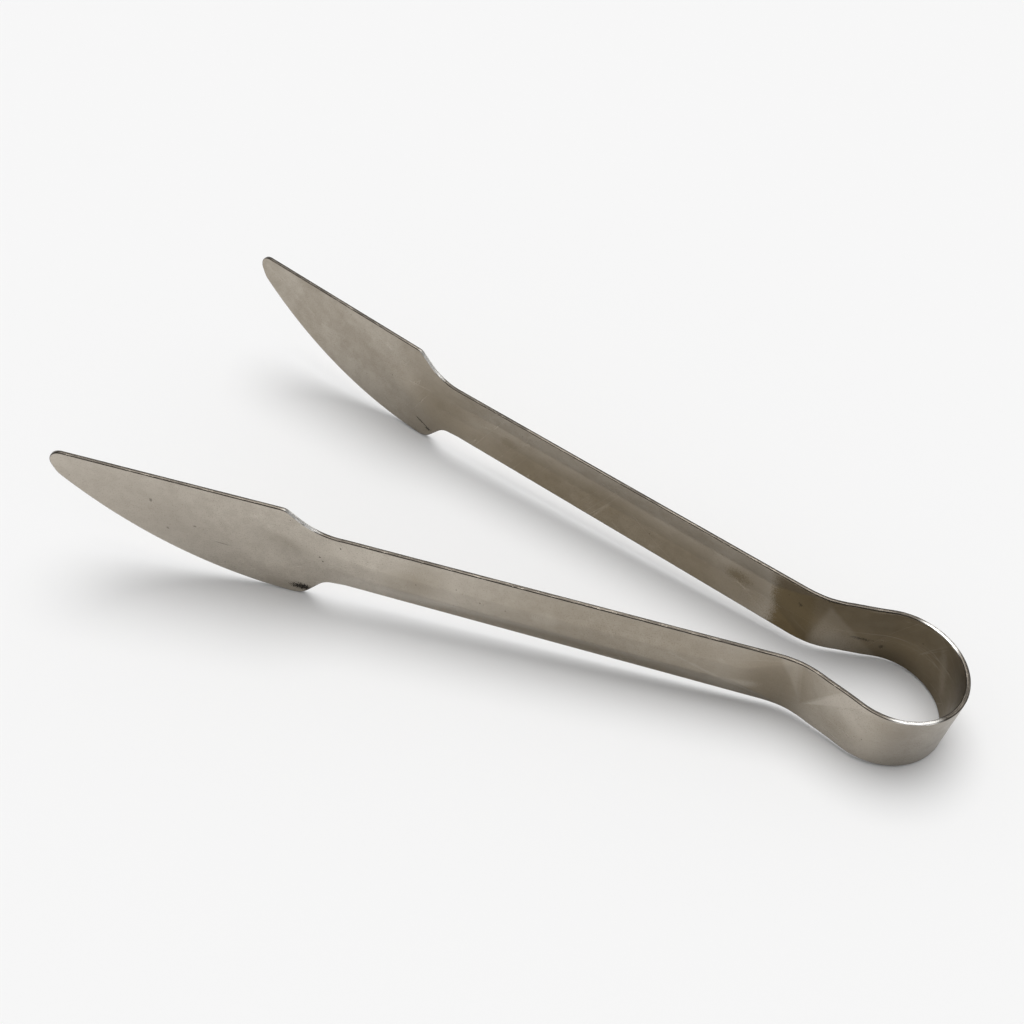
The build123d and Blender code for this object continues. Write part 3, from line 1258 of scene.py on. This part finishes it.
        # The painted glints on the upper rim.
        upper = (self.rubbed_height.over(across) * self.rubbed_edge.over(rim)
                 * self.rubbed_patches.over(mottle))
        for middle, reach in self.rubbed_rims:
            near = abs(abs(along) - middle).step(reach, 0.0) * self.rubbed_ends
            colour = graph.mix(near.at_most(1.0) * upper, colour, self.burnished)
        return colour

    def _stain(self, graph: Graph, patch: Stain, where: tuple[Value, Value, Value],
               noises: tuple[Value, Value, Value], colour: Value) -> Value:
        """Lays one patch, a stain or painted light, over a colour.

        Args:
            graph: the material's graph.
            patch: the patch.
            where: along, across and how much of the point is on the inner face.
            noises: coarse, finer and finest noise, which make the patch's edge ragged.
            colour: the colour under the patch.

        Returns:
            The changed colour.
        """
        along, across, inside = where
        run = along * patch.side.value if patch.side else abs(along)
        run = run - patch.along * MM - (across - patch.across * MM) * patch.slant
        run = run / (patch.long * MM)
        height = (across - patch.across * MM) / (patch.high * MM)
        away = (run * run + height * height).math("SQRT")
        for noise, weight in zip(noises, self.edge_weights):
            away = away + (noise - 0.5) * (patch.ragged * weight)
        share = away.step(1.0, 1.0 - patch.soft) * patch.strength
        share = share * (inside if patch.face is Face.INNER else 1.0 - inside)
        return graph.mix(share, colour, getattr(self, patch.tone.value))

    def _facet(self, graph: Graph, facet: Facet, where: tuple[Value, Value, Value],
               colour: Value) -> Value:
        """Lays the painted light of one facet, lighter or darker, over a colour.

        Args:
            graph: the material's graph.
            facet: the facet.
            where: along, across and how much of the point is on the inner face.
            colour: the colour under the facet.

        Returns:
            The changed colour.
        """
        along, across, inside = where
        run = abs(along) - facet.star[0] * MM
        rise = across - facet.star[1] * MM
        near, far = facet.slants
        soft = facet.soft * MM
        share = (run - rise * near).step(0.0, soft) * (rise * far - run).step(0.0, soft)
        share = share * (inside if facet.face is Face.INNER else 1.0 - inside)
        return graph.mix(share * facet.strength, colour, getattr(self, facet.tone.value))

    def _specks(self, graph: Graph, metal: Value, mottle: Value) -> Value:
        """Small dark specks, scattered thinly.

        Args:
            graph: the material's graph.
            metal: the coordinates on the strip.
            mottle: fine noise, which makes the specks uneven.

        Returns:
            Where the specks are, from 0 to 1.
        """
        cells = graph.node("ShaderNodeTexVoronoi", {
            "Vector": metal,
            "Scale": 1.0 / self.speck_spacing,
        })
        away = Value(graph, cells.outputs["Distance"]) + (mottle - 0.5) * self.speck_waver
        chance = graph.split(Value(graph, cells.outputs["Color"]))[0]
        size = self.speck_radius / self.speck_spacing
        return Ramp(size, size * self.SOFT_SHARE).over(away) * self.speck_chance.over(chance)

    def _touch(self, graph: Graph, along: Value, across: Value, inside: Value) -> Value:
        """A faint fingerprint of curved ridges.

        Args:
            graph: the material's graph.
            along: the distance from the crown.
            across: the height from mid-width.
            inside: how much of the point is on the inner face.

        Returns:
            How bright the print's ridges are.
        """
        run, rise = along - self.touch[0], across - self.touch[1]
        away = (run * run + rise * rise * self.touch_squash).math("SQRT")
        waver = self._noise(graph, graph.vector(run, rise, 0.0), self.touch_waver)
        bent = away + waver * self.touch_bend
        waves = (bent * (2 * pi / self.touch_ridges)).math("SINE")
        here = away.step(self.touch_reach, self.touch_reach * self.SOFT_SHARE) * (1.0 - inside)
        return self.touch_fill.over(waves) * here * self.touch_strength

    def _scratches(self, graph: Graph, along: Value, across: Value, through: Value) -> Value:
        """Fine straight scratches in three directions.

        Args:
            graph: the material's graph.
            along: the distance from the crown.
            across: the height from mid-width.
            through: which face it is.

        Returns:
            Where the scratches are, from 0 to 1.
        """
        found: Number = 0.0
        for scratch in self.scratch_sets:
            cosine, sine = cos(scratch.angle), sin(scratch.angle)
            line = along * cosine + across * sine
            beside = across * cosine - along * sine
            stretched = line * self.scratch_stretch
            where = graph.vector(stretched, beside, through * self.scratch_gap)
            fine = Grain(scratch.repeats, 0.0, 0.5)
            coarse = Grain(scratch.repeats * self.patch_share, 0.0, 0.5)
            ridge = self.scratch_width.over(abs(self._noise(graph, where, fine) - 0.5))
            found = ridge * self.scratch_patches.over(self._noise(graph, where, coarse)) + found
        return found.at_most(1.0)


# ---------------------------------------------------------------------------
# The sub-assemblies
# ---------------------------------------------------------------------------
@dataclass
class Bow:
    """The round spring bow: the crown's band and the springy part on each side."""

    plan: StripPlan
    place: StripFrame
    forming: FormingTree
    finish: bpy.types.Material
    column_step: float = 0.4 * MM
    bend_lean: float = radians(31.0)      # of a line from the crown; _spring works out ends along it, which are not used
    bend_reach: tuple[float, float] = (3.3 * MM, 37.0 * MM)
    links: int = 3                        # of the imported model, on each side

    def build(self) -> list[bpy.types.Object]:
        """Builds the crown and both springs."""
        return [self._crown(), *(self._spring(side) for side in Side)]

    def _crown(self) -> bpy.types.Object:
        """The middle of the bow, which doesn't flex.

        Returns:
            The piece.
        """
        end = self.plan.crown_end
        blank = Blank.of_strip("bow_crown_band", self.plan, -end, end, self.column_step)
        piece = self.forming.form(blank, Side.LEFT, self.finish, self.place)
        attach(piece, "bow_crown")
        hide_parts("bow_crown")
        return piece

    def _spring(self, side: Side) -> bpy.types.Object:
        """The rest of the bow and the throat on one side, the stretch that flexes on the real
        tongs, built as one fixed mesh.

        Args:
            side: the side.

        Returns:
            The piece.
        """
        name = f"{side.word}_bow_spring"
        start, end = self.plan.crown_end, self.plan.arm_start
        blank = Blank.of_strip(name, self.plan, start, end, self.column_step)
        piece = self.forming.form(blank, side, self.finish, self.place)
        lean = self.bend_lean * side.value
        ends = [self.place.place(reach * cos(lean), reach * sin(lean), 0.0)
                for reach in self.bend_reach]
        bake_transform(piece)
        links = [f"{side.word}_bow_link_{i + 1}" for i in range(self.links)]
        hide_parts(*links, f"{side.word}_throat")
        return piece


@dataclass
class Jaw:
    """One arm and its blade."""

    side: Side
    plan: StripPlan
    place: StripFrame
    forming: FormingTree
    finish: bpy.types.Material
    column_step: float = 0.7 * MM

    def build(self) -> list[bpy.types.Object]:
        """Builds the arm and the blade.

        Returns:
            The two pieces.
        """
        arm = Blank.of_strip(f"{self.side.word}_arm_channel", self.plan, self.plan.arm_start,
                             self.plan.neck, self.column_step)
        blade = Blank.of_blade(f"{self.side.word}_blade_plate", self.plan)
        return [self._fit(arm, "arm"), self._fit(blade, "blade")]

    def _fit(self, blank: Blank, node: str) -> bpy.types.Object:
        """Forms a blank, and puts it on the jaw in place of a node.

        Args:
            blank: the flat blank.
            node: the end of the node's name.

        Returns:
            The piece.
        """
        piece = self.forming.form(blank, self.side, self.finish, self.place)
        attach(piece, self.side.jaw)
        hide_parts(f"{self.side.word}_{node}")
        return piece


# ---------------------------------------------------------------------------
# The studio
# ---------------------------------------------------------------------------
@dataclass(frozen=True)
class SoftLight:
    """A wide, even light from far off, as through a large diffuser."""

    name: str
    azimuth: float
    elevation: float
    spread: float         # the angle that the light's disc covers
    strength: float


@dataclass
class Studio:
    """A plain pale floor, soft light and the camera."""

    place: StripFrame
    floor_size: float = 6.0
    floor_tone: tuple[float, float, float] = (0.88, 0.88, 0.88)
    floor_roughness: float = 0.9
    floor_gloss: float = 0.1
    sky: tuple[float, float, float] = (0.40, 0.40, 0.40)
    horizon: tuple[float, float, float] = (0.92, 0.92, 0.92)
    horizon_reach: tuple[float, float] = (0.40, 0.0)      # sines of the elevations where it fades
    aim: tuple[float, float, float] = (135.6 * MM, 0.3 * MM, 6.3 * MM)   # from the crown
    azimuth: float = radians(206.19)
    elevation: float = radians(47.25)
    roll: float = radians(1.14)
    distance: float = 333.6 * MM
    lens: float = 41.276
    shift: tuple[float, float] = (0.0342, 0.0029)
    nearest: float = 10.0 * MM            # what the lens still sees
    light: SoftLight = SoftLight("back_light", radians(24.0), radians(72.0), radians(50.0), 2.1)

    def build(self) -> None:
        """Makes the floor, the sky, the light and the camera."""
        self._floor()
        self._sky()
        self._light(self.light)
        self._camera()
        bpy.context.scene.view_settings.view_transform = "Standard"

    def _floor(self) -> None:
        """The pale floor that the tongs stand on."""
        half = self.floor_size / 2
        mesh = bpy.data.meshes.new("studio_floor")
        corners = [(-half, -half, 0.0), (half, -half, 0.0), (half, half, 0.0), (-half, half, 0.0)]
        mesh.from_pydata(corners, [], [(0, 1, 2, 3)])
        floor = bpy.data.objects.new("studio_floor", mesh)
        bpy.context.scene.collection.objects.link(floor)
        material = bpy.data.materials.new("pale_paper")
        material.use_nodes = True
        shader = material.node_tree.nodes["Principled BSDF"]
        shader.inputs["Base Color"].default_value = (*self.floor_tone, 1.0)
        shader.inputs["Roughness"].default_value = self.floor_roughness
        shader.inputs["Specular IOR Level"].default_value = self.floor_gloss
        mesh.materials.append(material)

    def _sky(self) -> None:
        """Even light from all round, as bright as the floor at the horizon."""
        world = bpy.data.worlds.new("studio_sky")
        world.use_nodes = True
        world.node_tree.nodes.clear()
        graph = Graph(world.node_tree)
        way = graph.value("ShaderNodeTexCoord", None, None, "Generated")
        low = graph.split(way)[2].step(*self.horizon_reach)
        colour = graph.mix(low, self.sky, self.horizon)
        background = graph.value("ShaderNodeBackground", {"Color": colour, "Strength": 1.0})
        graph.node("ShaderNodeOutputWorld", {"Surface": background})
        bpy.context.scene.world = world

    def _outward(self, azimuth: float, elevation: float) -> Vector:
        """The direction from the tongs to a light or the camera, from its two angles."""
        level = cos(elevation)
        return Vector((sin(azimuth) * level, -cos(azimuth) * level, sin(elevation)))

    def _light(self, light: SoftLight) -> None:
        """Adds a soft light.

        Args:
            light: its direction, spread and strength.
        """
        lamp = bpy.data.lights.new(light.name, "SUN")
        lamp.angle = light.spread
        lamp.energy = light.strength
        item = bpy.data.objects.new(light.name, lamp)
        out = self._outward(light.azimuth, light.elevation)
        item.location = out
        item.rotation_euler = (-out).to_track_quat("-Z", "Y").to_euler()
        bpy.context.scene.collection.objects.link(item)

    def _camera(self) -> None:
        """The camera, aimed past the crown at the arms."""
        lens = bpy.data.cameras.new("studio_camera")
        lens.lens = self.lens
        lens.shift_x, lens.shift_y = self.shift
        lens.clip_start = self.nearest
        camera = bpy.data.objects.new("studio_camera", lens)
        out = self._outward(self.azimuth, self.elevation)
        camera.location = self.place.origin + Vector(self.aim) + out * self.distance
        level = (-out).to_track_quat("-Z", "Y").to_matrix().to_4x4()
        turned = level @ Matrix.Rotation(self.roll, 4, "Z")
        camera.rotation_euler = turned.to_euler()
        bpy.context.scene.collection.objects.link(camera)
        bpy.context.scene.camera = camera


def main() -> None:
    """Builds the tongs and the studio, and reports each piece."""
    logging.basicConfig(level=logging.INFO, format="%(name)s: %(message)s")
    plan = StripPlan()
    place = StripFrame.of_model(frame)
    Studio(place).build()
    finish = TumbledStainless().material()
    forming = FormingTree(plan, Pressing())
    parts = [Bow(plan, place, forming, finish)]
    parts += [Jaw(side, plan, place, forming, finish) for side in Side]
    for part in parts:
        for piece in part.build():
            LOG.info("%s: %d faces", piece.name, len(piece.data.polygons))


if __name__ == "__main__":
    main()
